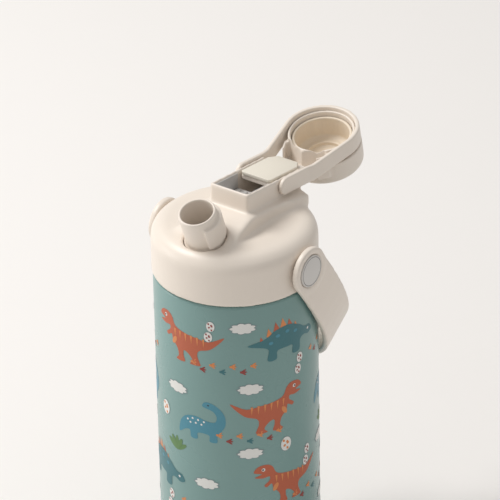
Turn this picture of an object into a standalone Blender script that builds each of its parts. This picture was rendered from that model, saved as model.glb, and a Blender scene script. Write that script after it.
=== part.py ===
"""Kids' insulated water bottle with a sprung flip lid, a carry loop and a strap handle.

Frame: +Z up, the spout towards -Y, the open lid towards +Y, origin at the centre of the base.
Sizes are in millimetres; finish() turns them into Blender's metres.
"""

import bmesh
import bpy
from math import atan2, cos, hypot, pi, radians, sin, tan

from mathutils import Matrix, Vector

MM = 0.001
GAP = 0.3                      # clearance between pieces that touch

# Steel body
BODY_HEIGHT = 150.0            # base to the collar's lower edge
BODY_RADIUS = 36.0
BODY_CORNER = 3.0
SHELL_WALL = 0.7
FLASK_RADIUS = 33.2            # outside of the inner flask
FLASK_WALL = 0.7
FLASK_FLOOR = 8.0
NECK_RADIUS = 31.3
NECK_HEIGHT = 18.0
BASE_THICKNESS = 2.2

# Collar, heights measured from its lower edge
COLLAR_RADIUS = 36.5
COLLAR_WALL = 2.6
SKIRT_HEIGHT = 16.0
SHOULDER = 7.0
CEILING = 20.3
DISC_TILT = radians(20.0)
DISC_LEVEL = 32.1              # height of the tilted disc's plane at Y = 0
DISC_RADIUS = 15.0
DISC_Y = -20.5
CREST_Y = -4.7
TOWER_HALF = 14.1
TOWER_REAR_HALF = 17.5
FALL = radians(6.8)            # rearward fall of the tower and of the block's top

# Block that carries the hinge
BLOCK_HALF = 10.4
BLOCK_FRONT = -3.5
BLOCK_REAR = 36.5
BLOCK_TOP = 39.4               # at its front
BLOCK_WALL = 1.6
WELL_FLOOR = 22.6
WELL_REAR = 33.0
REAR_SILL = 28.4

# Hinge and flip lid, measured from the hinge axis, lid open
HINGE_Y = 22.0
HINGE_Z = 33.0                 # above the collar's lower edge
PIN_RADIUS = 1.5
LID_REACH = 44.2
LID_RISE = radians(5.0)        # direction of the cup's rim from the hinge
CUP_TILT = radians(11.0)
CUP_INNER = 13.9
CUP_RIM = 15.1
CUP_DEPTH = 17.8
CUP_LEDGE = 6.9
CUP_FLOOR = 1.6
PLATE_HALF = 7.9
PLATE_HEEL = -6.0
PLATE_END = 18.7
PLATE_TOP = 3.4
PLATE_THICK = 1.6
ARM_THICK = 2.2
WEB_DROP = 7.6
WEB_THICK = 2.0
KNUCKLE_RADIUS = 3.0

# Carry loop
LOOP_CLEAR = 0.4
LOOP_THICK = 1.9
LOOP_HEIGHT = 8.0
LOOP_SPLAY_Y = 16.0            # where the arms leave the block's sides
LOOP_BEND_Y = 20.0
LOOP_RISE = radians(10.0)

# Spout, along its own tilted axis
SPOUT_TILT = radians(19.0)
SPOUT_Y = -21.5
SPOUT_RADIUS = 8.35
SPOUT_BORE = 7.2
SPOUT_HEIGHT = 15.6
SPOUT_STEM = 9.2
SPOUT_SLEEVE = 10.1
SLEEVE_TOP = 11.8
VENT = (-12.9, -22.6)          # beside the spout

# Strap handle
STRAP_Y = 1.0
STRAP_Z = 9.5
STRAP_DROP = radians(55.0)
STRAP_WIDTH = 21.0
STRAP_THICK = 2.7
STRAP_REACH = 77.0
STRAP_SQUARENESS = 2.4
STRAP_END = 10.7
CAP_RADIUS = 7.3

# Springs and latch
WIRE = 0.5
COIL_RADIUS = 2.1
SPRING_Y = 7.0
SPRING_Z = 26.2
LINER_WALL = 0.3
LATCH_Y = 30.0
LATCH_Z = 26.4
BUTTON_HALF = 6.0
BUTTON_LOW = 21.8
BUTTON_HIGH = 26.4

CREAM = (0.86, 0.82, 0.74)
PALE = (0.80, 0.79, 0.70)
GREY = (0.72, 0.71, 0.69)
STEEL = (0.70, 0.70, 0.71)
TEAL = (0.30, 0.50, 0.49)
SILICONE = (0.78, 0.70, 0.60)

Z0 = BODY_HEIGHT
INNER_COLLAR = COLLAR_RADIUS - COLLAR_WALL
WELL_HALF = BLOCK_HALF - BLOCK_WALL
LOOP_INNER_ARM = BLOCK_HALF + LOOP_CLEAR
CUP_BODY = CUP_RIM + GAP + LOOP_THICK
LOOP_INNER_RING = CUP_RIM + GAP
DISC_FRONT_Z = DISC_LEVEL + tan(DISC_TILT) * SPOUT_Y


def clear_scene():
    for obj in list(bpy.data.objects):
        bpy.data.objects.remove(obj, do_unlink=True)


def material(name, colour, roughness, metallic=0.0):
    made = bpy.data.materials.new(name)
    made.use_nodes = True
    shader = made.node_tree.nodes["Principled BSDF"]
    shader.inputs["Base Color"].default_value = (*colour, 1.0)
    shader.inputs["Roughness"].default_value = roughness
    shader.inputs["Metallic"].default_value = metallic
    made.diffuse_color = (*colour, 1.0)
    return made


def axis_empty(name, location):
    """An empty on a joint's axis, which the moving pieces hang from."""
    empty = bpy.data.objects.new(name, None)
    empty.location = Vector(location) * MM
    bpy.context.scene.collection.objects.link(empty)
    return empty


def finish(name, bm, look=None, parent=None, smooth=radians(35.0)):
    """Turns a bmesh in millimetres into an object, placed in its parent's frame."""
    bmesh.ops.remove_doubles(bm, verts=bm.verts, dist=1e-4)
    bmesh.ops.recalc_face_normals(bm, faces=bm.faces)
    if bm.calc_volume(signed=True) < 0:
        bmesh.ops.reverse_faces(bm, faces=bm.faces)
    bm.transform(Matrix.Scale(MM, 4))
    mesh = bpy.data.meshes.new(name)
    bm.to_mesh(mesh)
    bm.free()
    mesh.shade_smooth()
    mesh.set_sharp_from_angle(angle=smooth)
    obj = bpy.data.objects.new(name, mesh)
    bpy.context.scene.collection.objects.link(obj)
    if look:
        mesh.materials.append(material(name + "_material", *look))
    obj.parent = parent
    return obj


def cut(target, cutter, operation="DIFFERENCE"):
    """Adds a Boolean and hides its other solid."""
    cutter.hide_render = True
    cutter.display_type = "WIRE"
    cutter.parent = target.parent
    modifier = target.modifiers.new(cutter.name, "BOOLEAN")
    modifier.operation = operation
    modifier.solver = "EXACT"
    modifier.object = cutter
    return target


def helper(name, bm):
    return finish(name, bm)


def prism(outline, low, high, axis="Z"):
    """A bmesh of a closed outline extruded along an axis; X takes (y, z) points, Z takes (x, y)."""
    bm = bmesh.new()
    if axis == "Z":
        verts = [bm.verts.new((a, b, low)) for a, b in outline]
        step = (0, 0, high - low)
    else:
        verts = [bm.verts.new((low, a, b)) for a, b in outline]
        step = (high - low, 0, 0)
    face = bm.faces.new(verts)
    new = bmesh.ops.extrude_face_region(bm, geom=[face])["geom"]
    bmesh.ops.translate(bm, verts=[v for v in new if isinstance(v, bmesh.types.BMVert)], vec=step)
    return bm


def box(low, high):
    (x0, y0, z0), (x1, y1, z1) = low, high
    return prism([(x0, y0), (x1, y0), (x1, y1), (x0, y1)], z0, z1)


def turned(profile, steps=48, angle=2 * pi, start=0.0):
    """A bmesh spun about Z from a closed profile of (radius, height) points."""
    bm = bmesh.new()
    verts = [bm.verts.new((r * cos(start), r * sin(start), z)) for r, z in profile]
    edges = [bm.edges.new((a, b)) for a, b in zip(verts, verts[1:] + verts[:1])
             if hypot(a.co.x, a.co.y) > 1e-6 or hypot(b.co.x, b.co.y) > 1e-6]
    full = angle > 2 * pi - 1e-6
    geom = verts + edges
    if not full:
        geom.append(bm.faces.new(verts))
    bmesh.ops.spin(bm, geom=geom, axis=(0, 0, 1), cent=(0, 0, 0), angle=angle,
                   steps=steps, use_merge=full)
    return bm


def along_x(bm, y, z):
    """Turns a Z-axis shape onto the X axis and moves it to (y, z)."""
    bm.transform(Matrix.Translation((0, y, z)) @ Matrix.Rotation(pi / 2, 4, "Y"))
    return bm


def rod(radius, low, high, y, z, steps=16, start=0.0):
    """A cylinder along X from low to high."""
    profile = [(0, low), (radius, low), (radius, high), (0, high)]
    return along_x(turned(profile, steps, start=start), y, z)


def arc(centre, radius, start, end, steps):
    x, y = centre
    angles = [radians(start + (end - start) * i / steps) for i in range(steps + 1)]
    return [(x + radius * cos(a), y + radius * sin(a)) for a in angles]


def mirrored(half):
    """A closed outline from its +X half, which starts and ends near X = 0."""
    return half + [(-x, y) for x, y in reversed(half)]


def tangent_point(point, centre, radius):
    """Where the tangent from a point meets a circle, on the circle's +X side seen from below."""
    dx, dy = centre[0] - point[0], centre[1] - point[1]
    away = hypot(dx, dy)
    base = atan2(-dy, -dx)
    turn = pi / 2 - atan2(radius, (away ** 2 - radius ** 2) ** 0.5)
    angle = base + turn
    return (centre[0] + radius * cos(angle), centre[1] + radius * sin(angle)), angle


def steel_body():
    """Outer shell with a welded base, and the inner flask hung from the neck."""
    look = (TEAL, 0.4)
    shelf = Z0 - GAP
    r, w, c = BODY_RADIUS, SHELL_WALL, BODY_CORNER
    outside = [(r - c, 0.6)] + arc((r - c, 0.6 + c), c, -90, 0, 5)[1:]
    outside += arc((r - 1.5, shelf - 1.5), 1.5, 0, 90, 3)
    outside += [(NECK_RADIUS, shelf), (NECK_RADIUS, Z0 + NECK_HEIGHT)]
    inside = [(NECK_RADIUS - w, Z0 + NECK_HEIGHT), (NECK_RADIUS - w, shelf - w)]
    inside += [(r - w - 1, shelf - w), (r - w, shelf - w - 1)]
    inside += [(r - w, 0.6 + c), (r - c, 0.6 + w)]
    finish("outer_shell", turned(outside + inside, 64), look)

    throat = NECK_RADIUS - w - GAP
    f, t = FLASK_RADIUS, FLASK_WALL
    flask = [(0, FLASK_FLOOR), (f - 6, FLASK_FLOOR)]
    flask += arc((f - 6, FLASK_FLOOR + 6), 6, -90, 0, 4)[1:]
    flask += [(f, shelf - 8), (throat, shelf - 4), (throat, Z0 + NECK_HEIGHT)]
    flask += [(throat - t, Z0 + NECK_HEIGHT), (throat - t, shelf - 4.3), (f - t, shelf - 8.3)]
    flask += list(reversed(arc((f - 6, FLASK_FLOOR + 6), 6 - t, -90, 0, 4)))
    flask += [(0, FLASK_FLOOR + t)]
    finish("inner_flask", turned(flask, 48), (STEEL, 0.28, 1.0))

    plate = r - c - GAP
    finish("base_plate", turned([(0, 0), (plate - 0.6, 0), (plate, 0.6), (plate, BASE_THICKNESS),
                                 (0, BASE_THICKNESS)], 48), (STEEL, 0.35, 1.0))


def disc_height(y):
    return DISC_LEVEL + tan(DISC_TILT) * y


def block_height(y):
    return BLOCK_TOP - tan(FALL) * (y - BLOCK_FRONT)


def tower_outline():
    rear = COLLAR_RADIUS - 0.3
    corner = atan2((rear ** 2 - TOWER_REAR_HALF ** 2) ** 0.5, TOWER_REAR_HALF) * 180 / pi
    side = 20.0
    half = arc((0, DISC_Y), DISC_RADIUS, -90, side, 12)
    half += [(TOWER_HALF, HINGE_Y - 14), (TOWER_REAR_HALF, HINGE_Y + 6)]
    half += arc((0, 0), rear, corner, 90, 4)
    return half[:-1] + [(0, rear)] + [(-x, y) for x, y in reversed(half[1:-1])]


def spout_frame():
    """Places a Z-axis shape on the spout's axis, Z = 0 at the disc's surface."""
    return (Matrix.Translation((0, SPOUT_Y, Z0 + DISC_FRONT_Z))
            @ Matrix.Rotation(SPOUT_TILT, 4, "X"))


def collar():
    r, top = COLLAR_RADIUS, SKIRT_HEIGHT + SHOULDER
    outer = [(r, Z0), (r, Z0 + SKIRT_HEIGHT)]
    outer += arc((r - SHOULDER, Z0 + SKIRT_HEIGHT), SHOULDER, 0, 90, 6)[1:]
    profile = outer + [(0, Z0 + top), (0, Z0 + CEILING), (INNER_COLLAR, Z0 + CEILING),
                       (INNER_COLLAR, Z0)]
    body = finish("collar", turned(profile, 64), (CREAM, 0.42))

    tower = helper("tower_solid", prism(tower_outline(), Z0 + CEILING + 0.5, Z0 + 36))
    crest = disc_height(CREST_Y)
    side = [(-45, Z0 + 12), (45, Z0 + 12), (45, Z0 + crest - tan(FALL) * (45 - CREST_Y)),
            (CREST_Y, Z0 + crest), (-45, Z0 + disc_height(-45))]
    cut(tower, helper("tower_top", prism(side, -30, 30, "X")), "INTERSECT")
    cut(body, tower, "UNION")

    block = [(BLOCK_FRONT, Z0 + CEILING + 1), (BLOCK_REAR - 3, Z0 + CEILING + 1),
             (BLOCK_REAR, Z0 + CEILING + 5), (BLOCK_REAR, Z0 + block_height(BLOCK_REAR)),
             (BLOCK_FRONT, Z0 + BLOCK_TOP)]
    cut(body, helper("block_solid", prism(block, -BLOCK_HALF, BLOCK_HALF, "X")), "UNION")

    w = WELL_HALF
    well = [(BLOCK_FRONT + BLOCK_WALL, Z0 + WELL_FLOOR), (WELL_REAR, Z0 + WELL_FLOOR),
            (WELL_REAR, Z0 + REAR_SILL), (BLOCK_REAR + 5, Z0 + REAR_SILL),
            (BLOCK_REAR + 5, Z0 + BLOCK_TOP + 5), (BLOCK_FRONT + BLOCK_WALL, Z0 + BLOCK_TOP + 5)]
    cut(body, helper("well_cut", prism(well, -w, w, "X")))

    bore = turned([(0, -12), (SPOUT_STEM + GAP, -12), (SPOUT_STEM + GAP, 12), (0, 12)], 32,
                  start=0.07)
    bore.transform(spout_frame())
    cut(body, helper("spout_cut", bore))

    cut(body, helper("pin_cut", rod(PIN_RADIUS + GAP, -20, 20, HINGE_Y, Z0 + HINGE_Z)))
    cut(body, helper("spring_pin_cut",
                     rod(1.0 + GAP, -w - 1, w + 1, SPRING_Y, Z0 + SPRING_Z)))
    cut(body, helper("latch_pin_cut", rod(0.8 + GAP, -w - 1, w + 1, LATCH_Y, Z0 + LATCH_Z, 12)))
    cut(body, helper("stud_cut", rod(3.0 + GAP, -50, 50, STRAP_Y, Z0 + STRAP_Z)))
    b = BUTTON_HALF + GAP
    cut(body, helper("button_cut", box((-b, WELL_REAR - 1, Z0 + BUTTON_LOW + 0.8 - GAP),
                                       (b, 45, Z0 + BUTTON_HIGH + GAP))))
    x, y = VENT
    vent = turned([(0, 10), (0.6, 10), (0.6, 40), (0, 40)], 12)
    vent.transform(Matrix.Translation((x, y, Z0)))
    cut(body, helper("vent_cut", vent))


def collar_fittings():
    finish("thread_insert", turned(
        [(INNER_COLLAR - GAP, Z0 + 1), (INNER_COLLAR - GAP, Z0 + 14), (NECK_RADIUS + GAP, Z0 + 14),
         (NECK_RADIUS + GAP, Z0 + 1)], 48), (PALE, 0.5))
    low, high = Z0 + NECK_HEIGHT + GAP, Z0 + CEILING - GAP
    finish("neck_seal", turned([(NECK_RADIUS - 1.6, low), (NECK_RADIUS + 1, low),
                                (NECK_RADIUS + 1, high), (NECK_RADIUS - 1.6, high)], 48),
           (SILICONE, 0.6))

    stem, bore = SPOUT_STEM, SPOUT_BORE
    outline = [(stem, -4.8), (stem, -3.6), (stem - 1.0, -3.6), (stem - 1.0, -2.0), (stem, -2.0),
               (stem, -0.4), (SPOUT_RADIUS, 0.2), (SPOUT_RADIUS, SPOUT_HEIGHT - 0.5),
               (SPOUT_RADIUS - 0.5, SPOUT_HEIGHT), (bore + 0.2, SPOUT_HEIGHT), (bore, SPOUT_HEIGHT - 0.3),
               (bore, -4.8)]
    tube = turned(outline, 40)
    tube.transform(spout_frame())
    spout = finish("spout", tube, (CREAM, 0.4))
    sleeve = turned([(SPOUT_RADIUS - 0.6, 0.9), (SPOUT_SLEEVE, 0.9), (SPOUT_SLEEVE, SLEEVE_TOP),
                     (SPOUT_RADIUS - 0.6, SLEEVE_TOP)], 22, radians(198), radians(-40.5))
    sleeve.transform(spout_frame())
    cut(spout, helper("sleeve_solid", sleeve), "UNION")
    ring = turned([(stem - 0.7, -3.3), (stem + 0.05, -3.3), (stem + 0.05, -2.3),
                   (stem - 0.7, -2.3)], 32)
    ring.transform(spout_frame())
    finish("spout_seal", ring, (SILICONE, 0.6))

    x, y = VENT
    valve = turned([(0, Z0 + 17), (1.0, Z0 + 17), (1.8, Z0 + 19), (1.8, Z0 + CEILING - GAP),
                    (0, Z0 + CEILING - GAP)], 12)
    valve.transform(Matrix.Translation((x, y, 0)))
    finish("vent_valve", valve, (SILICONE, 0.6))


def hinge_metal():
    """Pins, the sprung lid's steel liner and the double torsion spring."""
    end = LOOP_INNER_ARM + LOOP_THICK - 0.9
    finish("hinge_pin", rod(PIN_RADIUS, -end, end, HINGE_Y, Z0 + HINGE_Z), (STEEL, 0.3, 1.0))
    reach = WELL_HALF + 0.7
    finish("spring_pin", rod(1.0, -reach, reach, SPRING_Y, Z0 + SPRING_Z, 12), (STEEL, 0.3, 1.0))

    half, inner = WELL_HALF - GAP, WELL_HALF - GAP - LINER_WALL
    front = BLOCK_FRONT + BLOCK_WALL + GAP
    rear = HINGE_Y - 7.6
    floor = Z0 + WELL_FLOOR + GAP
    sides = [(front, floor), (rear, floor), (rear, Z0 + block_height(rear) - 0.8),
             (front, Z0 + block_height(front) - 0.8)]
    liner = finish("spring_bracket", prism(sides, -half, half, "X"), (STEEL, 0.25, 1.0))
    hollow = [(front + LINER_WALL, floor + LINER_WALL), (rear - LINER_WALL, floor + LINER_WALL),
              (rear - LINER_WALL, Z0 + HINGE_Z - 4.2), (rear + 2, Z0 + HINGE_Z - 4.2),
              (rear + 2, Z0 + BLOCK_TOP + 5), (front + LINER_WALL, Z0 + BLOCK_TOP + 5)]
    cut(liner, helper("liner_hollow", prism(hollow, -inner, inner, "X")))
    cut(liner, helper("liner_pin_cut",
                      rod(1.0 + GAP, -half - 1, half + 1, SPRING_Y, Z0 + SPRING_Z, 12)))

    coil = []
    turns, per_turn, pitch = 4, 12, 2 * WIRE + 0.25
    for i in range(turns * per_turn + 1):
        a = 2 * pi * i / per_turn
        coil.append((1.4 + pitch * i / per_turn, SPRING_Y + COIL_RADIUS * cos(a),
                     Z0 + SPRING_Z + COIL_RADIUS * sin(a)))
    x_in, x_out = coil[0][0], coil[-1][0]
    leg = [(x_in - 0.1, SPRING_Y + COIL_RADIUS, Z0 + SPRING_Z - 0.6)]
    bridge = [(x_in, SPRING_Y + COIL_RADIUS + 0.3, Z0 + SPRING_Z - 1.6)]
    tail = [(x_out, SPRING_Y + COIL_RADIUS, Z0 + SPRING_Z + 1.0)]
    right = bridge + leg + coil + tail
    left = [(-x, y, z) for x, y, z in reversed(right)]
    wire(left + right, "lid_spring")


def wire(points, name, parent=None, look=(STEEL, 0.25, 1.0)):
    """A round wire along the points."""
    curve = bpy.data.curves.new(name, "CURVE")
    curve.dimensions = "3D"
    curve.bevel_depth = WIRE * MM
    curve.bevel_resolution = 1
    curve.use_fill_caps = True
    spline = curve.splines.new("POLY")
    spline.points.add(len(points) - 1)
    for spot, point in zip(spline.points, points):
        spot.co = (*(Vector(point) * MM), 1.0)
    curve.materials.append(material(name + "_material", *look))
    obj = bpy.data.objects.new(name, curve)
    bpy.context.scene.collection.objects.link(obj)
    obj.parent = parent


def latch_parts(latch_axis):
    """A rocking latch under the lid's heel, and the button in the rear wall that tips it."""
    lever = [(-0.7, -2.6), (0.9, -2.6), (1.7, 0), (1.5, 2.4), (-0.9, 2.4), (-1.7, 0)]
    latch = finish("latch", prism(lever, -5, 5, "X"), (PALE, 0.5), latch_axis)
    cut(latch, helper("latch_bore", rod(0.8 + GAP, -6, 6, 0, 0, 12)))
    reach = WELL_HALF + 0.7
    finish("latch_pin", rod(0.8, -reach, reach, LATCH_Y, Z0 + LATCH_Z, 12), (STEEL, 0.3, 1.0))

    b = BUTTON_HALF
    outline = [(-b, WELL_REAR + 0.4), (b, WELL_REAR + 0.4)] + arc((0, 0), COLLAR_RADIUS + 0.9, 80.7, 99.3, 6)
    button = prism(outline, Z0 + BUTTON_LOW + 0.8, Z0 + BUTTON_HIGH)
    pusher = finish("release_button", button, (PALE, 0.45))
    nose = box((-3, LATCH_Y + 1.5, Z0 + LATCH_Z - 3.4), (3, WELL_REAR + 1, Z0 + LATCH_Z - 2.3))
    cut(pusher, helper("button_nose", nose), "UNION")


def lid_frame():
    """Places a Z-axis shape on the cup's axis in the hinge frame, Z = 0 at its rim."""
    return (Matrix.Translation((0, LID_REACH * cos(LID_RISE), LID_REACH * sin(LID_RISE)))
            @ Matrix.Rotation(CUP_TILT, 4, "X"))


def plate_height(y):
    return PLATE_TOP - tan(FALL) * y


def flip_lid(lid_axis):
    """Cup, web and arm in one moulding, with the cover plate and the silicone seal."""
    d, r = CUP_DEPTH, CUP_BODY
    profile = [(CUP_RIM, 0), (CUP_RIM, -CUP_LEDGE), (r, -CUP_LEDGE)]
    profile += arc((r - 3, -d + 3), 3, 0, -90, 4)
    profile += [(0, -d), (0, 0)]
    cup = turned(profile, 48)
    cup.transform(lid_frame())
    lid = finish("flip_lid", cup, (CREAM, 0.42), lid_axis)

    under = PLATE_THICK + GAP
    web_top, web_low = -WEB_DROP, -WEB_DROP - WEB_THICK
    wall_y = PLATE_END + 1.9
    ring_y = LID_REACH - CUP_RIM
    arm = [(PLATE_HEEL + 0.5, plate_height(PLATE_HEEL + 0.5) - under),
           (PLATE_HEEL + 0.5, plate_height(PLATE_HEEL + 0.5) - under - ARM_THICK),
           (PLATE_END - 0.6, plate_height(PLATE_END) - under - ARM_THICK),
           (PLATE_END - 0.6, web_low), (ring_y + 4, web_low - 2), (ring_y + 4, web_top - 1.0),
           (wall_y, web_top), (wall_y, plate_height(PLATE_END) - under)]
    spine = prism(arm, -PLATE_HALF, PLATE_HALF, "X")
    cut(lid, helper("arm_solid", spine), "UNION")
    centre_y = LID_REACH * cos(LID_RISE)
    splay = mirrored([(PLATE_HALF + 1.6, BLOCK_REAR - HINGE_Y + 13), (12.2, centre_y - 11.5),
                      (12.2, centre_y - 9)])
    cut(lid, helper("wall_solid", prism(splay, web_low - 1.5, 0.2)), "UNION")
    inside = mirrored([(PLATE_HALF - 0.1, ring_y - 3), (10.7, centre_y - 11.8), (9.5, centre_y - 10.5),
                       (0, centre_y - CUP_RIM - 0.2)])
    cut(lid, helper("wall_hollow", prism(inside, web_top - 0.4, 4)))
    bore = turned([(0, -d + CUP_FLOOR), (CUP_INNER, -d + CUP_FLOOR), (CUP_INNER, 8), (0, 8)], 48,
                  start=pi / 48)
    bore.transform(lid_frame())
    cut(lid, helper("cup_bore", bore))
    cut(lid, helper("knuckle", rod(KNUCKLE_RADIUS, -PLATE_HALF, PLATE_HALF, 0, 0, 20)), "UNION")
    seat = [(y, plate_height(y) - under) for y in (PLATE_HEEL - 3, PLATE_END + 3)]
    seat += [(PLATE_END + 3, 9), (PLATE_HEEL - 3, 9)]
    cut(lid, helper("cover_seat", prism(seat, -PLATE_HALF - 1, PLATE_HALF + 1, "X")))
    cut(lid, helper("knuckle_bore", rod(PIN_RADIUS + GAP, -20, 20, 0, 0, start=0.13)))

    heel, end, half = PLATE_HEEL, PLATE_END, PLATE_HALF
    shape = mirrored([(half - 1, heel), (half, heel + 1), (half, end - 4.2), (half - 1.2, end - 2.6),
                      (half - 2.6, end)])
    cut(finish("lid_cover", prism(shape, -6, 8), (PALE, 0.45), lid_axis),
        helper("cover_slice", prism([(-9, plate_height(-9)), (30, plate_height(30)),
                                     (30, plate_height(30) - PLATE_THICK),
                                     (-9, plate_height(-9) - PLATE_THICK)], -20, 20, "X")),
        "INTERSECT")

    s, floor = CUP_INNER - GAP, -d + CUP_FLOOR + GAP
    seal = turned([(0, floor), (s, floor), (s, -2.2), (s - 1.3, -2.2), (s - 1.3, floor + 4.5),
                   (s - 3.2, floor + 3.2), (s - 5.4, floor + 3.2), (s - 5.4, floor + 1.4),
                   (0, floor + 1.4)], 40)
    seal.transform(lid_frame())
    finish("lid_seal", seal, (SILICONE, 0.55), lid_axis)


def loop_outline(half, radius):
    """The loop's plan on one face: straight arms that splay onto the ring round the cup."""
    centre = (0.0, LID_REACH * cos(LID_RISE))
    start = (half, LOOP_SPLAY_Y)
    point, angle = tangent_point(start, centre, radius)
    steps = 12
    ring = arc(centre, radius, angle * 180 / pi, 90, steps)
    return [(half, -LOOP_HEIGHT), start] + ring


def carry_loop(loop_axis):
    inner = loop_outline(LOOP_INNER_ARM, LOOP_INNER_RING)
    outer = loop_outline(LOOP_INNER_ARM + LOOP_THICK, LOOP_INNER_RING + LOOP_THICK)
    plan = outer[:-1] + [(-x, y) for x, y in reversed(outer)]
    plan += inner_side(inner)
    band = prism(plan, -20, 20)
    lean = Matrix.Shear("XY", 4, (0, -tan(CUP_TILT)))
    band.transform(Matrix.Translation((0, tan(CUP_TILT) * LID_REACH * sin(LID_RISE), 0)) @ lean)
    loop = finish("carry_loop", band, (CREAM, 0.42), loop_axis)

    h = LOOP_HEIGHT / 2
    bend_z = -tan(FALL) * LOOP_BEND_Y
    end_y = 70.0
    end_z = bend_z + tan(LOOP_RISE) * (end_y - LOOP_BEND_Y)
    side = [(end_y, end_z - h), (end_y, end_z + h), (LOOP_BEND_Y, bend_z + h)]
    side += arc((0, 0), h, 84, 276, 12) + [(LOOP_BEND_Y, bend_z - h)]
    cut(loop, helper("loop_side", prism(side, -30, 30, "X")), "INTERSECT")
    deep = LOOP_INNER_ARM + LOOP_THICK - 0.6
    cut(loop, helper("loop_bore", rod(PIN_RADIUS + GAP, -deep, deep, 0, 0)))


def inner_side(half):
    return [(-x, y) for x, y in half] + list(reversed(half[:-1]))


def strap_curve(half_span, reach, steps=14):
    """A superellipse from one side to the other, as (x, s) points."""
    points = []
    for i in range(2 * steps + 1):
        a = pi * i / (2 * steps)
        x = abs(cos(a)) ** (2 / STRAP_SQUARENESS) * half_span * (1 if a < pi / 2 else -1)
        points.append((x, abs(sin(a)) ** (2 / STRAP_SQUARENESS) * reach))
    return points


def strap_handle(strap_axis):
    face = COLLAR_RADIUS + 0.8
    tilt = Matrix.Rotation(-STRAP_DROP, 4, "X")
    inner = strap_curve(face, STRAP_REACH)
    outer = strap_curve(face + STRAP_THICK, STRAP_REACH + STRAP_THICK)
    band = prism(outer + list(reversed(inner)), -STRAP_WIDTH / 2, STRAP_WIDTH / 2)
    band.transform(tilt)
    strap = finish("strap_handle", band, (CREAM, 0.45), strap_axis)
    for side, tag in ((1, "right"), (-1, "left")):
        low, high = sorted((side * (face - 0.2), side * (face + STRAP_THICK + 0.2)))
        cut(strap, helper("strap_end_" + tag, rod(STRAP_END, low, high, 0, 0, 32, 0.03)), "UNION")
        low, high = sorted((side * (face + 1.4), side * (face + 5)))
        cut(strap, helper("cap_seat_" + tag, rod(CAP_RADIUS + GAP, low, high, 0, 0, 28, 0.05)))
        low, high = sorted((side * (face - 1), side * (face + 5)))
        cut(strap, helper("stud_seat_" + tag, rod(3.0 + GAP, low, high, 0, 0, start=0.11)))
        low, high = sorted((side * (face + 1.7), side * (face + STRAP_THICK + 0.4)))
        finish("strap_cap_" + tag, rod(CAP_RADIUS, low, high, 0, 0, 28), (GREY, 0.4), strap_axis)
        low, high = sorted((side * (INNER_COLLAR + 0.4), side * (face + 1.1)))
        finish("strap_stud_" + tag, rod(3.0, low, high, STRAP_Y, Z0 + STRAP_Z), (STEEL, 0.35, 1.0))


def main():
    clear_scene()
    steel_body()
    collar()
    collar_fittings()
    hinge_metal()
    hinge = (0, HINGE_Y, Z0 + HINGE_Z)
    latch_parts(axis_empty("latch_axis", (0, LATCH_Y, Z0 + LATCH_Z)))
    flip_lid(axis_empty("lid_axis", hinge))
    carry_loop(axis_empty("loop_axis", hinge))
    strap_handle(axis_empty("strap_axis", (0, STRAP_Y, Z0 + STRAP_Z)))


main()
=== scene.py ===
"""Finishes, print and moulded surfaces of the children's bottle, laid out as a Blender add-on."""

from math import cos, pi, radians, sin

import bmesh
import bpy
from mathutils import Matrix, Vector


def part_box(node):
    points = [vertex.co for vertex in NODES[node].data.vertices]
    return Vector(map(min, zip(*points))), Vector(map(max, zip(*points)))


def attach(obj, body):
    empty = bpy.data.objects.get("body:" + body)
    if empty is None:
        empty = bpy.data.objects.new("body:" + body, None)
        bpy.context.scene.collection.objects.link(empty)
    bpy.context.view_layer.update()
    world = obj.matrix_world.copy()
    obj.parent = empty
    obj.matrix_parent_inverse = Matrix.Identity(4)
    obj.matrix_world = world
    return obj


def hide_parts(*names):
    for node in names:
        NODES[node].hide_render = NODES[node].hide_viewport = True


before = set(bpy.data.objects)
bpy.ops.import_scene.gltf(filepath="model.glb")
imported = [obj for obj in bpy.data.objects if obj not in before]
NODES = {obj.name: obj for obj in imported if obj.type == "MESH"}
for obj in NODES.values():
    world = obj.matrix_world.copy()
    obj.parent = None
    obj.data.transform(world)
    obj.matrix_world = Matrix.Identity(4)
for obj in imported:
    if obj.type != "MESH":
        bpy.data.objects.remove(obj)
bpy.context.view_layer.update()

bl_info = {
    "name": "Children's Bottle Finish",
    "version": (1, 0, 0),
    "blender": (4, 5, 0),
    "location": "View3D > Sidebar > Bottle",
    "description": "Moulded surfaces, print, finishes and a studio for the bottle",
    "category": "Object",
}

MM = 0.001
BODY_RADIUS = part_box("outer_shell")[1][0]
EDGE_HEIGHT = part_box("collar")[0][2]    # the collar's lower edge

INK = 0.05 * MM                         # each layer of ink stands this far above the last
INK_STRIP = 1.6                         # mm of an outline that stay flat on the round body
REPEAT_TURN = radians(74)               # from one band of the print to the band below it
REPEAT_DROP = 72 * MM
BARE_BASE = 6 * MM                      # no motif comes nearer than this to the base
BARE_EDGE = 1 * MM                      # or than this to the collar

TOWER_FOOT = EDGE_HEIGHT + 17.5 * MM    # where the shoulder starts to rise into the tower
TOWER_FRONT = -30 * MM
BLOCK_MARGIN = 3.2 * MM                 # from the steel bracket to outside the hinge block
SHOULDER_MARGIN = 1.2 * MM              # ring at the collar's outside that keeps its own radius


# ---------------------------------------------------------------- properties

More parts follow.
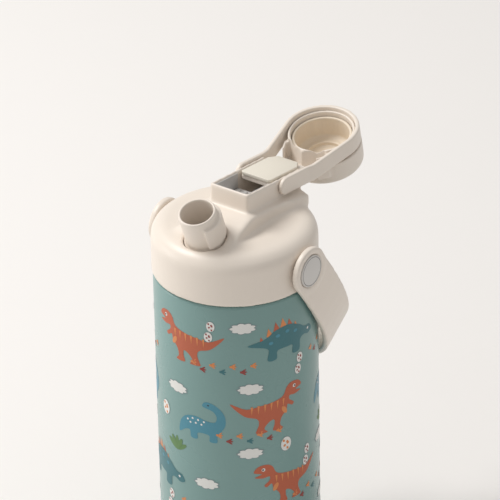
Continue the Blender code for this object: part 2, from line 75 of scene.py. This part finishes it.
class BottleColours(bpy.types.PropertyGroup):
    """Colours of the plastics, the coat and the steel."""

    def tone(name, description, value):
        """A colour property."""
        return bpy.props.FloatVectorProperty(
            name=name, description=description, default=value, size=3, min=0.0, max=1.0,
            subtype="COLOR")

    plastic: tone("Plastic", "Cream of the lid unit, loop and strap", (0.83, 0.752, 0.668))
    cover: tone("Cover", "Paler, greener cream of the lid's cover plate", (0.80, 0.75, 0.65))
    cap: tone("Cap", "Grey of the strap's caps", (0.69, 0.67, 0.645))
    seal: tone("Seal", "Silicone of the seals", (0.80, 0.70, 0.57))
    coat: tone("Coat", "Powder coat on the steel body", (0.205, 0.345, 0.33))
    steel: tone("Steel", "Bare steel", (0.88, 0.865, 0.85))


class BottleSizes(bpy.types.PropertyGroup):
    """Fineness of the collar's surface, and the camera's place."""

    voxel: bpy.props.FloatProperty(
        name="Surface step", description="Size of the collar's surface faces",
        default=0.62 * MM, min=0.3 * MM, max=2 * MM, unit="LENGTH", precision=5)
    fillet_passes: bpy.props.IntProperty(
        name="Fillet passes", description="How far the tower flows into the shoulder",
        default=14, min=0, max=200)
    camera_azimuth: bpy.props.FloatProperty(
        name="Camera azimuth", description="Angle of the camera round the bottle",
        default=radians(36.5), subtype="ANGLE")
    camera_elevation: bpy.props.FloatProperty(
        name="Camera elevation", description="Angle of the camera above the horizon",
        default=radians(30.0), subtype="ANGLE")
    camera_roll: bpy.props.FloatProperty(
        name="Camera roll", description="Lean of the picture", default=radians(1.2),
        subtype="ANGLE")
    camera_distance: bpy.props.FloatProperty(
        name="Camera distance", description="From the camera to the bottle", default=1.7,
        min=0.5, max=5.0, unit="LENGTH")
    camera_lens: bpy.props.FloatProperty(
        name="Camera lens", description="Focal length", default=280.8, min=20, max=600,
        unit="CAMERA")
    camera_shift: bpy.props.FloatProperty(
        name="Camera shift", description="How far the aim lies right of and above the bottle",
        default=6.48 * MM, unit="LENGTH", precision=5)


# ---------------------------------------------------------------- node groups

def group(name, inputs, outputs):
    """An empty node group with its inputs, outputs and end nodes."""
    made = bpy.data.node_groups.new(name, "ShaderNodeTree")
    for label, kind, value in inputs:
        socket = made.interface.new_socket(label, in_out="INPUT", socket_type=kind)
        socket.default_value = value
    for label, kind in outputs:
        made.interface.new_socket(label, in_out="OUTPUT", socket_type=kind)
    start = made.nodes.new("NodeGroupInput")
    end = made.nodes.new("NodeGroupOutput")
    return made, start, end


def link(tree, source, target):
    tree.links.new(source, target)


def object_noise(tree, scale, detail, stretch=(1, 1, 1)):
    """Noise on Object coordinates, stretched along the axes."""
    place = tree.nodes.new("ShaderNodeTexCoord")
    mapping = tree.nodes.new("ShaderNodeMapping")
    mapping.inputs["Scale"].default_value = stretch
    noise = tree.nodes.new("ShaderNodeTexNoise")
    noise.inputs["Scale"].default_value = scale
    noise.inputs["Detail"].default_value = detail
    link(tree, place.outputs["Object"], mapping.inputs["Vector"])
    link(tree, mapping.outputs["Vector"], noise.inputs["Vector"])
    return noise


def grain_group():
    """Moulded or coated surface: faint clouding of the colour, uneven sheen and a fine grain."""
    tree, start, end = group(
        "Moulded grain",
        [("Colour", "NodeSocketColor", (0.8, 0.8, 0.8, 1)),
         ("Shade", "NodeSocketColor", (0.7, 0.7, 0.7, 1)),
         ("Roughness", "NodeSocketFloat", 0.4),
         ("Unevenness", "NodeSocketFloat", 0.1)],
        [("Colour", "NodeSocketColor"), ("Roughness", "NodeSocketFloat"),
         ("Height", "NodeSocketFloat")])
    cloud = object_noise(tree, 38.0, 3.0)
    fine = object_noise(tree, 2600.0, 2.0)
    mix = tree.nodes.new("ShaderNodeMix")
    mix.data_type = "RGBA"
    link(tree, cloud.outputs["Fac"], mix.inputs["Factor"])
    link(tree, start.outputs["Colour"], mix.inputs["A"])
    link(tree, start.outputs["Shade"], mix.inputs["B"])
    link(tree, mix.outputs["Result"], end.inputs["Colour"])
    centred = tree.nodes.new("ShaderNodeMath")
    centred.operation = "SUBTRACT"
    centred.inputs[1].default_value = 0.5
    link(tree, cloud.outputs["Fac"], centred.inputs[0])
    spread = tree.nodes.new("ShaderNodeMath")
    spread.operation = "MULTIPLY_ADD"
    link(tree, centred.outputs[0], spread.inputs[0])
    link(tree, start.outputs["Unevenness"], spread.inputs[1])
    link(tree, start.outputs["Roughness"], spread.inputs[2])
    link(tree, spread.outputs[0], end.inputs["Roughness"])
    link(tree, fine.outputs["Fac"], end.inputs["Height"])
    return tree


def brushed_group():
    """Steel with fine lines along X and a slow change of tone."""
    tree, start, end = group(
        "Brushed lines",
        [("Colour", "NodeSocketColor", (0.7, 0.7, 0.7, 1)),
         ("Dark", "NodeSocketColor", (0.3, 0.3, 0.3, 1)),
         ("Roughness", "NodeSocketFloat", 0.25)],
        [("Colour", "NodeSocketColor"), ("Roughness", "NodeSocketFloat"),
         ("Height", "NodeSocketFloat")])
    lines = object_noise(tree, 420.0, 4.0, (0.12, 1.0, 1.0))
    tone = object_noise(tree, 160.0, 2.0)
    mix = tree.nodes.new("ShaderNodeMix")
    mix.data_type = "RGBA"
    link(tree, tone.outputs["Fac"], mix.inputs["Factor"])
    link(tree, start.outputs["Colour"], mix.inputs["A"])
    link(tree, start.outputs["Dark"], mix.inputs["B"])
    link(tree, mix.outputs["Result"], end.inputs["Colour"])
    add = tree.nodes.new("ShaderNodeMath")
    add.operation = "MULTIPLY_ADD"
    add.inputs[1].default_value = 0.25
    link(tree, lines.outputs["Fac"], add.inputs[0])
    link(tree, start.outputs["Roughness"], add.inputs[2])
    link(tree, add.outputs[0], end.inputs["Roughness"])
    link(tree, lines.outputs["Fac"], end.inputs["Height"])
    return tree


GROUPS = {}


def effect(name):
    """The shared node group of that name, built the first time it is asked for."""
    if name not in GROUPS:
        GROUPS[name] = {"grain": grain_group, "brushed": brushed_group}[name]()
    return GROUPS[name]


def material(name, kind, colour, second, roughness, bump, distance, **values):
    """A Principled material fed by one of the shared groups; values are plain shader inputs."""
    if name in bpy.data.materials:
        return bpy.data.materials[name]
    made = bpy.data.materials.new(name)
    made.use_nodes = True
    tree = made.node_tree
    shader = tree.nodes["Principled BSDF"]
    node = tree.nodes.new("ShaderNodeGroup")
    node.node_tree = effect(kind)
    node.inputs[0].default_value = (*colour, 1)
    node.inputs[1].default_value = (*second, 1)
    node.inputs["Roughness"].default_value = roughness
    relief = tree.nodes.new("ShaderNodeBump")
    relief.inputs["Strength"].default_value = bump
    relief.inputs["Distance"].default_value = distance
    link(tree, node.outputs["Colour"], shader.inputs["Base Color"])
    link(tree, node.outputs["Roughness"], shader.inputs["Roughness"])
    link(tree, node.outputs["Height"], relief.inputs["Height"])
    link(tree, relief.outputs["Normal"], shader.inputs["Normal"])
    for label, value in values.items():
        shader.inputs[label].default_value = value
    return made


def dimmed(colour, share):
    """The colour with a share of its brightness."""
    return tuple(channel * share for channel in colour)


def plastic(name, colour, roughness=0.38):
    """Moulded plastic or rubber."""
    return material(name, "grain", colour, dimmed(colour, 0.965), roughness, 0.12, 0.00004)


def cream():
    return plastic("Cream plastic", bpy.context.scene.bottle_colours.plastic)


def steel(name="Bright steel", roughness=0.12):
    """Solid steel with faint brushed lines."""
    colour = bpy.context.scene.bottle_colours.steel
    return material(name, "brushed", colour, dimmed(colour, 0.75), roughness, 0.25, 0.00008,
                    Metallic=1.0)


def ink(name, colour):
    """Screen-print ink."""
    return material("Ink " + name, "grain", colour, dimmed(colour, 0.9), 0.42, 0.08, 0.00002)


# ---------------------------------------------------------------- mesh helpers

def piece(name, mesh, finish, body, replaces=()):
    """Puts a mesh in the scene as a piece that rides on a body."""
    obj = bpy.data.objects.new(name, mesh)
    bpy.context.scene.collection.objects.link(obj)
    mesh.materials.clear()
    mesh.materials.append(finish)
    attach(obj, body)
    if replaces:
        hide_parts(*replaces)
    return obj


def merged_copy(node):
    """A bmesh copy of a CAD node with its loose triangles joined."""
    bm = bmesh.new()
    bm.from_mesh(NODES[node].data)
    bmesh.ops.remove_doubles(bm, verts=bm.verts, dist=1e-6)
    bmesh.ops.recalc_face_normals(bm, faces=bm.faces)
    return bm


def remeshed(node, step):
    """A bmesh of the node's surface in even faces, which can be smoothed into fillets."""
    bm = merged_copy(node)
    mesh = bpy.data.meshes.new(node + "_even")
    bm.to_mesh(mesh)
    bm.free()
    obj = bpy.data.objects.new(node + "_even", mesh)
    bpy.context.scene.collection.objects.link(obj)
    modifier = obj.modifiers.new("Even faces", "REMESH")
    modifier.mode = "VOXEL"
    modifier.voxel_size = step
    graph = bpy.context.evaluated_depsgraph_get()
    even = bmesh.new()
    even.from_object(obj, graph)
    bpy.data.objects.remove(obj, do_unlink=True)
    bpy.data.meshes.remove(mesh)
    return even


def soften(bm, passes, where=None, factor=0.5):
    """Smooths the points that the test picks."""
    verts = [v for v in bm.verts if where is None or where(v.co)]
    for _ in range(passes):
        bmesh.ops.smooth_vert(bm, verts=verts, factor=factor, use_axis_x=True, use_axis_y=True,
                              use_axis_z=True)


def to_mesh(name, bm, smooth=True):
    """Turns the bmesh into a mesh and frees it."""
    mesh = bpy.data.meshes.new(name)
    bm.to_mesh(mesh)
    bm.free()
    if smooth:
        mesh.shade_smooth()
    return mesh


def moulded(name, node, body, finish, step, passes):
    """A softened copy of a CAD moulding, with small radii where the solid has sharp edges."""
    bm = remeshed(node, step)
    soften(bm, passes)
    return piece(name, to_mesh(name, bm), finish, body, (node,))


def bevelled(name, node, radius):
    """A mesh of the CAD node with its edges rounded."""
    bm = merged_copy(node)
    bmesh.ops.dissolve_limit(bm, angle_limit=radians(2), verts=bm.verts, edges=bm.edges)
    bmesh.ops.bevel(bm, geom=bm.edges[:], offset=radius, segments=3, profile=0.5,
                    affect="EDGES", material=-1)
    mesh = to_mesh(name, bm)
    mesh.set_sharp_from_angle(angle=radians(40))
    return mesh


def bar(bm, low, high, radius=0.25 * MM):
    """Adds a rounded block between two corners."""
    made = bmesh.ops.create_cube(bm, size=1.0)["verts"]
    centre, size = (Vector(low) + Vector(high)) / 2, Vector(high) - Vector(low)
    bmesh.ops.scale(bm, vec=size, verts=made)
    bmesh.ops.translate(bm, vec=centre, verts=made)
    edges = list({edge for vert in made for edge in vert.link_edges})
    bmesh.ops.bevel(bm, geom=edges, offset=radius, segments=2, profile=0.5, affect="EDGES",
                    material=-1)


def dress(node, finish):
    """Gives a CAD node its finish."""
    obj = NODES[node]
    if not obj.material_slots:
        obj.data.materials.append(finish)
    for slot in obj.material_slots:
        slot.material = finish


# ---------------------------------------------------------------- print

def smooth_outline(points, steps=5):
    """A closed Catmull-Rom curve through given points."""
    count = len(points)
    out = []
    for i in range(count):
        p0, p1, p2, p3 = (Vector(points[(i + k - 1) % count]) for k in range(4))
        for s in range(steps):
            t = s / steps
            out.append(0.5 * ((2 * p1) + (p2 - p0) * t + (2 * p0 - 5 * p1 + 4 * p2 - p3) * t ** 2
                              + (3 * p1 - p0 - 3 * p2 + p3) * t ** 3))
    return [tuple(p) for p in out]


def oval(x, y, rx, ry, turn=0.0, steps=18):
    """Points of an ellipse, turned anticlockwise."""
    out = []
    for i in range(steps):
        a = 2 * pi * i / steps
        px, py = rx * cos(a), ry * sin(a)
        out.append((x + px * cos(turn) - py * sin(turn), y + px * sin(turn) + py * cos(turn)))
    return out


# Outlines in mm, facing right, about the middle of the body
BIPED = [(17, 6.6), (15, 9.4), (11, 10), (8.3, 8.4), (6.2, 4.6), (1, 3), (-5, 2.2), (-11, 1.4),
         (-18, 4.2), (-12, -2), (-6.4, -4), (-5.4, -6.8), (-6.4, -9.8), (-6.6, -11.6),
         (-1.6, -11.6), (-3, -9.6), (-0.8, -6.8), (1.6, -6), (1.8, -8.6), (1.2, -11.6),
         (6, -11.6), (4.6, -9.4), (5.4, -6), (8, -3), (8.8, -0.4), (11.2, -1.8), (12.2, -0.6),
         (9.8, 1.6), (9.9, 3.6), (13, 3.2), (16.6, 4), (13.4, 5.4)]
PLATED = [(17.5, -3.6), (15.6, -0.8), (12, -0.2), (8, 2.6), (2, 5.2), (-5, 4.4), (-10, 1.2),
          (-18, -1.2), (-11, -3), (-8.4, -5), (-9, -10), (-4.8, -10), (-4.2, -6), (0.8, -5.6),
          (3.8, -6), (3.8, -10), (8, -10), (8.6, -5.2), (11.4, -4), (14.6, -5)]
LONG_NECK = [(0.2, 8.2), (1.2, 10.2), (3.8, 10.4), (7.6, 8.4), (10.4, 4.4), (10.6, -0.4),
             (8.4, -4.2), (6.8, -6), (6.8, -9.6), (3.4, -9.6), (3, -6.4), (-2.2, -6.2),
             (-2.6, -9.4), (-5.8, -9.4), (-6.4, -6), (-8.8, -6.2), (-12.4, -8.6), (-11.6, -3),
             (-8.4, 0.8), (-3, 2), (2.4, 0.6), (6, 0.8), (6.8, 3.6), (5.2, 6.2), (2.6, 7.2)]

INKS = {
    "orange_red": (0.50, 0.115, 0.05), "orange": (0.72, 0.26, 0.085), "white": (0.80, 0.80, 0.77),
    "grey": (0.22, 0.30, 0.31), "deep_teal": (0.045, 0.175, 0.20), "blue": (0.07, 0.27, 0.36),
    "dark_red": (0.30, 0.045, 0.035), "black": (0.03, 0.03, 0.035), "green": (0.11, 0.23, 0.075),
}


def biped(add):
    """Two-legged dinosaur with stripes."""
    add("orange_red", 0, smooth_outline(BIPED))
    for i in range(6):
        x = -9 + 3.0 * i
        top = 2.3 + 0.2 * i
        add("orange", 1, [(x, top), (x + 1.1, top + 0.1), (x + 0.4, top - 4.2)])
    add("orange", 1, oval(6.9, -2.6, 1.1, 2.2, 0.5))
    add("white", 1, oval(12.6, 7.6, 0.85, 0.85))
    add("black", 2, oval(12.8, 7.6, 0.45, 0.45, steps=10))


def plated(add):
    """Four-legged dinosaur with plates on its back."""
    for i in range(7):
        x = -11.5 + 3.5 * i
        base = 4.6 - 0.052 * (x + 1.5) ** 2
        size = 2.9 - 0.32 * abs(i - 3)
        add("orange" if i % 2 else "orange_red", 0,
            [(x - size * 0.62, base), (x - 0.5, base + size * 1.7), (x + size * 0.75, base - 0.2),
             (x, base - 1.2)])
    add("deep_teal", 1, smooth_outline(PLATED))
    for x, y in ((-4, 1.4), (1, 2.2), (5.6, 0.6), (-7.4, -1.4)):
        add("blue", 2, oval(x, y, 1.1, 0.8))
    add("white", 2, oval(14.2, -2.2, 0.6, 0.6, steps=12))


def long_neck(add):
    """Long-necked dinosaur, which looks back to the left."""
    add("blue", 0, smooth_outline(LONG_NECK))
    for x, y in ((-7.4, -0.6), (-4.8, 0.6), (-2, 0.4), (0.8, 0), (-6, -1.8), (-3.2, -1.4),
                 (-0.4, -1.6)):
        add("white", 1, oval(x, y, 0.5, 0.5, steps=12))
    add("black", 1, oval(3, 9, 0.4, 0.4, steps=10))


def cloud_outline(size):
    """Scalloped oval."""
    lobes = []
    for i in range(72):
        a = 2 * pi * i / 72
        bump = 0.84 + 0.2 * abs(sin(4.5 * a))
        lobes.append((cos(a) * 5.6 * bump * size, sin(a) * 2.6 * bump * size))
    return lobes


def cloud(add):
    """White cloud with a grey edge."""
    add("grey", 0, cloud_outline(1.12))
    add("white", 1, cloud_outline(0.98))


def egg(add, x=0.0, y=0.0, spot="orange", size=1.35):
    """Spotted egg."""
    add("grey", 0, oval(x, y, 2.2 * size, 2.8 * size))
    add("white", 1, oval(x, y, 2.0 * size, 2.6 * size))
    for i in range(5):
        a, out = 0.9 + 1.4 * i, (0.35, 0.68)[i % 2]
        add(spot, 2, oval(x + 2 * out * cos(a) * size, y + 2.7 * out * sin(a) * size,
                          0.52 * size, 0.42 * size, a, 9))


def egg_stack(add):
    """Two small eggs, one on the other."""
    egg(add, -0.6, -2.5, "dark_red", 0.95)
    egg(add, 0.6, 2.9, "dark_red", 0.95)


def footprints(add):
    """A trail of three-toed footprints."""
    tones = ("orange", "dark_red", "orange", "deep_teal")
    for i in range(7):
        x, y = -14.4 + 4.5 * i, (-1) ** i * 1.4
        for a in (-0.6, 0.0, 0.6):
            add(tones[i % 4], 0, oval(x + 1.2 * cos(a), y + 1.2 * sin(a), 1.25, 0.42, a, 9))
        add(tones[i % 4], 1, oval(x, y, 0.7, 0.6, steps=9))


def plant(add):
    """A low plant with five leaves."""
    for i in range(5):
        a = pi / 2 + 0.5 * (i - 2)
        add("green", i % 2, oval(3.2 * cos(a), 3.2 * sin(a) - 3, 3.6, 1.15, a))


# Each motif: its drawing, its angle from the camera's side in degrees, its height from the
# collar's edge in mm, and whether it is drawn facing the other way
MOTIFS = (
    (biped, -37, -20, True), (egg_stack, -19, -13.5, False), (cloud, 4.5, -11, False),
    (plated, 36, -19, False), (footprints, -10, -31.5, False), (cloud, -47, -46.5, False),
    (cloud, 9, -42, False), (long_neck, -26, -60, False), (biped, 23, -53.5, False),
    (egg_stack, 48, -36, False), (footprints, 8, -67, False), (egg, -61, -61, False),
    (egg, 35, -74, False), (cloud, 8, -75, False), (plant, -49, -76, False),
    (cloud, 82, -20, False), (footprints, 84, -34, False), (long_neck, 88, -55, False),
    (plant, 84, -74, False),
)


def wrapped(outline, angle, height, layer, flip):
    """A flat outline in mm, cut into strips and laid on the body at an angle and a height."""
    bm = bmesh.new()
    points = [(-x if flip else x, y) for x, y in outline]
    bm.faces.new([bm.verts.new((x, y, 0)) for x, y in points])
    low, high = min(p[0] for p in points), max(p[0] for p in points)
    for i in range(1, int((high - low) / INK_STRIP) + 1):
        bmesh.ops.bisect_plane(bm, geom=bm.verts[:] + bm.edges[:] + bm.faces[:], dist=1e-5,
                               plane_co=(low + INK_STRIP * i, 0, 0), plane_no=(1, 0, 0))
    radius = BODY_RADIUS + INK * (layer + 1)
    for v in bm.verts:
        a = angle + v.co.x * MM / BODY_RADIUS
        v.co = (radius * sin(a), -radius * cos(a), EDGE_HEIGHT + height + v.co.y * MM)
    for face in bm.faces:
        face.normal_update()
        middle = face.calc_center_median()
        if face.normal.x * middle.x + face.normal.y * middle.y < 0:
            face.normal_flip()
    return bm


def lay(ink_bm, flat):
    """Adds a wrapped outline to its ink, unless it would reach the base or the collar."""
    heights = [v.co.z for v in flat.verts]
    if min(heights) > BARE_BASE and max(heights) < EDGE_HEIGHT - BARE_EDGE:
        temp = bpy.data.meshes.new("motif")
        flat.to_mesh(temp)
        ink_bm.from_mesh(temp)
        bpy.data.meshes.remove(temp)
    flat.free()


class BOTTLE_OT_print(bpy.types.Operator):
    """Lays the dinosaur print on the steel body, one piece for each ink"""

    bl_idname = "bottle.print"
    bl_label = "Print"

    def execute(self, context):
        inks = {name: bmesh.new() for name in INKS}
        facing = context.scene.bottle_sizes.camera_azimuth
        for side in (0, 1):
            for band in (0, 1):
                turn = facing + pi * side + REPEAT_TURN * band
                for draw, angle, height, flip in MOTIFS:
                    spot = turn + radians(angle)
                    drop = height * MM - REPEAT_DROP * band

                    def add(tone, layer, outline):
                        lay(inks[tone], wrapped(outline, spot, drop, layer, flip))

                    draw(add)
        for name, bm in inks.items():
            mesh = to_mesh("print_" + name, bm)
            piece("print_" + name, mesh, ink(name, INKS[name]), "bottle")
        return {"FINISHED"}


# ---------------------------------------------------------------- pieces

class BOTTLE_OT_body(bpy.types.Operator):
    """Finishes the steel body, flask and base"""

    bl_idname = "bottle.body"
    bl_label = "Steel body"

    def execute(self, context):
        coat = context.scene.bottle_colours.coat
        powder = material("Powder coat", "grain", coat, dimmed(coat, 0.93), 0.28, 0.2, 0.00005)
        mesh = to_mesh("coated_body", merged_copy("outer_shell"))
        mesh.set_sharp_from_angle(angle=radians(35))
        piece("coated_body", mesh, powder, "bottle", ("outer_shell",))
        for node in ("inner_flask", "base_plate"):
            dress(node, steel("Satin steel", 0.22))
        return {"FINISHED"}


class BOTTLE_OT_collar(bpy.types.Operator):
    """Moulds the collar, its tower flowing into the shoulder, and the spout"""

    bl_idname = "bottle.collar"
    bl_label = "Collar and spout"

    def execute(self, context):
        sizes = context.scene.bottle_sizes
        bm = remeshed("collar", sizes.voxel)
        soften(bm, 5)
        block_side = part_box("spring_bracket")[1][0] + BLOCK_MARGIN
        rim = BODY_RADIUS - SHOULDER_MARGIN

        def on_flank(p):
            beside_block = abs(p.x) > block_side and p.z > TOWER_FOOT and p.y > TOWER_FRONT
            return beside_block and p.x ** 2 + p.y ** 2 < rim ** 2

        soften(bm, sizes.fillet_passes, on_flank)
        soften(bm, 2)
        piece("collar_moulding", to_mesh("collar_moulding", bm), cream(), "lid_unit",
              ("collar",))
        moulded("spout_moulding", "spout", "lid_unit", cream(), step=0.36 * MM, passes=4)
        return {"FINISHED"}


class BOTTLE_OT_lid(bpy.types.Operator):
    """Moulds the flip lid and loop, and finishes the cover plate and seal"""

    bl_idname = "bottle.lid"
    bl_label = "Flip lid and loop"

    def execute(self, context):
        colours = context.scene.bottle_colours
        moulded("lid_moulding", "flip_lid", "lid", cream(), step=0.32 * MM, passes=5)
        moulded("loop_moulding", "carry_loop", "loop", cream(), step=0.36 * MM, passes=6)
        piece("cover_plate", bevelled("cover_plate", "lid_cover", 0.28 * MM),
              plastic("Cover plastic", colours.cover, 0.42), "lid", ("lid_cover",))
        silicone = plastic("Silicone", colours.seal, 0.5)
        moulded("seal_moulding", "lid_seal", "lid", silicone, step=0.34 * MM, passes=3)
        for node in ("neck_seal", "spout_seal", "vent_valve"):
            dress(node, silicone)
        dress("thread_insert", cream())
        return {"FINISHED"}


class BOTTLE_OT_hinge(bpy.types.Operator):
    """Finishes the pins, bracket, spring, latch and button"""

    bl_idname = "bottle.hinge"
    bl_label = "Hinge metal and latch"

    def execute(self, context):
        for node in ("hinge_pin", "spring_pin", "latch_pin", "lid_spring", "strap_stud_left",
                     "strap_stud_right"):
            dress(node, steel())
        pale = context.scene.bottle_colours.steel
        pressed = material("Pressed steel", "brushed", pale, dimmed(pale, 0.7), 0.4, 0.6, 0.0002,
                           Metallic=0.55)
        dress("spring_bracket", pressed)
        low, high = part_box("spring_bracket")
        left, right = low[0] + 1.1 * MM, high[0] - 1.1 * MM
        front, rear = low[1] + 1.1 * MM, high[1] - 1.1 * MM
        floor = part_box("spring_pin")[1][2] + 2.1 * MM    # just above the spring's coils
        rib_foot, rib_radius = floor + 0.5 * MM, 0.4 * MM
        bm = bmesh.new()
        bar(bm, (left, front, floor), (right, rear, floor + 0.8 * MM))
        for i in range(4):
            x = (i - 1.5) * 3.6 * MM
            bar(bm, (x - 0.9 * MM, front + 0.9 * MM, rib_foot),
                (x + 0.9 * MM, rear - 1.5 * MM, floor + 1.5 * MM), rib_radius)
        for y in (front + 0.5 * MM, front + 3.3 * MM):
            bar(bm, (left, y, rib_foot), (right, y + 1.0 * MM, floor + 1.7 * MM), rib_radius)
        mesh = to_mesh("pressed_plate", bm)
        mesh.set_sharp_from_angle(angle=radians(40))
        piece("pressed_plate", mesh, pressed, "lid_unit")
        cover = context.scene.bottle_colours.cover
        for node in ("latch", "release_button"):
            dress(node, plastic("Cover plastic", cover, 0.42))
        return {"FINISHED"}


def painted_groove_shade(name, node, outward):
    """A thin dark ring on the cap's outer face: painted shade in place of a groove, which is not
    cut into the cap.
    """
    low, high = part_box(node)
    end = high[0] if outward > 0 else low[0]
    middle = Vector((end + 0.02 * MM * outward, (low[1] + high[1]) / 2, (low[2] + high[2]) / 2))
    bm = bmesh.new()
    bmesh.ops.create_circle(bm, segments=64, radius=(high[2] - low[2]) / 2 - 0.9 * MM)
    made = bmesh.ops.extrude_edge_only(bm, edges=bm.edges[:])["geom"]
    outer = [item for item in made if isinstance(item, bmesh.types.BMVert)]
    bmesh.ops.scale(bm, vec=(1.05, 1.05, 1.0), verts=outer)
    bmesh.ops.transform(bm, matrix=Matrix.Translation(middle) @ Matrix.Rotation(pi / 2, 4, "Y"),
                        verts=bm.verts)
    bm.normal_update()
    for face in bm.faces:
        if face.normal.x * outward < 0:
            face.normal_flip()
    return to_mesh(name, bm)


class BOTTLE_OT_strap(bpy.types.Operator):
    """Moulds the strap handle and its caps"""

    bl_idname = "bottle.strap"
    bl_label = "Strap handle"

    def execute(self, context):
        grey = plastic("Cap plastic", context.scene.bottle_colours.cap, 0.45)
        # The ring's dark colour is painted shade of the caps' groove, not a colour of the
        # plastic.
        dark = plastic("Painted groove shade", dimmed(context.scene.bottle_colours.cap, 0.35), 0.6)
        moulded("strap_moulding", "strap_handle", "strap", cream(), step=0.5 * MM, passes=8)
        for side, outward in (("left", -1), ("right", 1)):
            node = "strap_cap_" + side
            piece("cap_" + side, bevelled("cap_" + side, node, 0.25 * MM), grey, "strap",
                  (node,))
            piece("cap_groove_shade_" + side, painted_groove_shade("cap_groove_shade_" + side, node, outward), dark,
                  "strap")
        return {"FINISHED"}


# ---------------------------------------------------------------- studio

def area_light(name, place, target, size, power, colour):
    """A round soft light that faces its target."""
    light = bpy.data.lights.new(name, "AREA")
    light.shape = "DISK"
    light.size = size
    light.energy = power
    light.color = colour
    obj = bpy.data.objects.new(name, light)
    obj.location = place
    obj.rotation_euler = (Vector(target) - Vector(place)).to_track_quat("-Z", "Y").to_euler()
    bpy.context.scene.collection.objects.link(obj)


class BOTTLE_OT_studio(bpy.types.Operator):
    """Sets the floor, the lights and the camera"""

    bl_idname = "bottle.studio"
    bl_label = "Studio"

    def execute(self, context):
        sizes = context.scene.bottle_sizes
        bm = bmesh.new()
        bmesh.ops.create_grid(bm, x_segments=2, y_segments=2, size=6.0)
        mesh = to_mesh("floor", bm, smooth=False)
        floor = bpy.data.objects.new("floor", mesh)
        pale = (0.90, 0.88, 0.86)
        mesh.materials.append(material("Pale floor", "grain", pale, dimmed(pale, 0.99), 0.8, 0.02,
                                       0.0001))
        context.scene.collection.objects.link(floor)

        world = bpy.data.worlds.new("Studio")
        world.use_nodes = True
        world.node_tree.nodes["Background"].inputs["Color"].default_value = (1.0, 0.985, 0.97, 1)
        world.node_tree.nodes["Background"].inputs["Strength"].default_value = 0.50
        context.scene.world = world
        middle = (0, 0, 0.15)
        area_light("key", (-0.95, -0.3, 1.55), middle, size=0.8, power=20,
                   colour=(1.0, 0.985, 0.965))
        area_light("side", (-1.5, -0.9, 0.4), middle, size=0.7, power=5,
                   colour=(1.0, 0.99, 0.98))

        camera = bpy.data.cameras.new("camera")
        camera.sensor_width = 36.0
        camera.lens = sizes.camera_lens
        a, e, roll = sizes.camera_azimuth, sizes.camera_elevation, sizes.camera_roll
        right = Vector((cos(a), sin(a), 0))
        up = Vector((-sin(a) * sin(e), cos(a) * sin(e), cos(e)))
        back = Vector((sin(a) * cos(e), -cos(a) * cos(e), sin(e)))
        leaned_right = right * cos(roll) - up * sin(roll)
        leaned_up = right * sin(roll) + up * cos(roll)
        aim = Vector((0, 0, EDGE_HEIGHT)) + sizes.camera_shift * (leaned_right + leaned_up)
        obj = bpy.data.objects.new("camera", camera)
        axes = Matrix((leaned_right, leaned_up, back)).transposed()
        obj.matrix_world = Matrix.Translation(aim + back * sizes.camera_distance) @ axes.to_4x4()
        context.scene.collection.objects.link(obj)
        context.scene.camera = obj
        context.scene.view_settings.view_transform = "Standard"
        return {"FINISHED"}


class BOTTLE_PT_panel(bpy.types.Panel):
    """Lists the colours, the sizes and the pieces."""

    bl_label = "Bottle"
    bl_idname = "BOTTLE_PT_panel"
    bl_space_type = "VIEW_3D"
    bl_region_type = "UI"
    bl_category = "Bottle"

    def draw(self, context):
        layout = self.layout
        for group_name in ("bottle_colours", "bottle_sizes"):
            settings = getattr(context.scene, group_name)
            for name in settings.__annotations__:
                layout.prop(settings, name)
        for operator in OPERATORS:
            layout.operator(operator.bl_idname)


OPERATORS = (BOTTLE_OT_studio, BOTTLE_OT_body, BOTTLE_OT_print, BOTTLE_OT_collar, BOTTLE_OT_lid,
             BOTTLE_OT_hinge, BOTTLE_OT_strap)
CLASSES = (BottleColours, BottleSizes, *OPERATORS, BOTTLE_PT_panel)


def register():
    for cls in CLASSES:
        bpy.utils.register_class(cls)
    bpy.types.Scene.bottle_colours = bpy.props.PointerProperty(type=BottleColours)
    bpy.types.Scene.bottle_sizes = bpy.props.PointerProperty(type=BottleSizes)


def unregister():
    del bpy.types.Scene.bottle_sizes
    del bpy.types.Scene.bottle_colours
    for cls in reversed(CLASSES):
        bpy.utils.unregister_class(cls)


def main():
    register()
    bpy.ops.bottle.studio()
    bpy.ops.bottle.body()
    bpy.ops.bottle.print()
    bpy.ops.bottle.collar()
    bpy.ops.bottle.lid()
    bpy.ops.bottle.hinge()
    bpy.ops.bottle.strap()


if __name__ == "__main__":
    main()
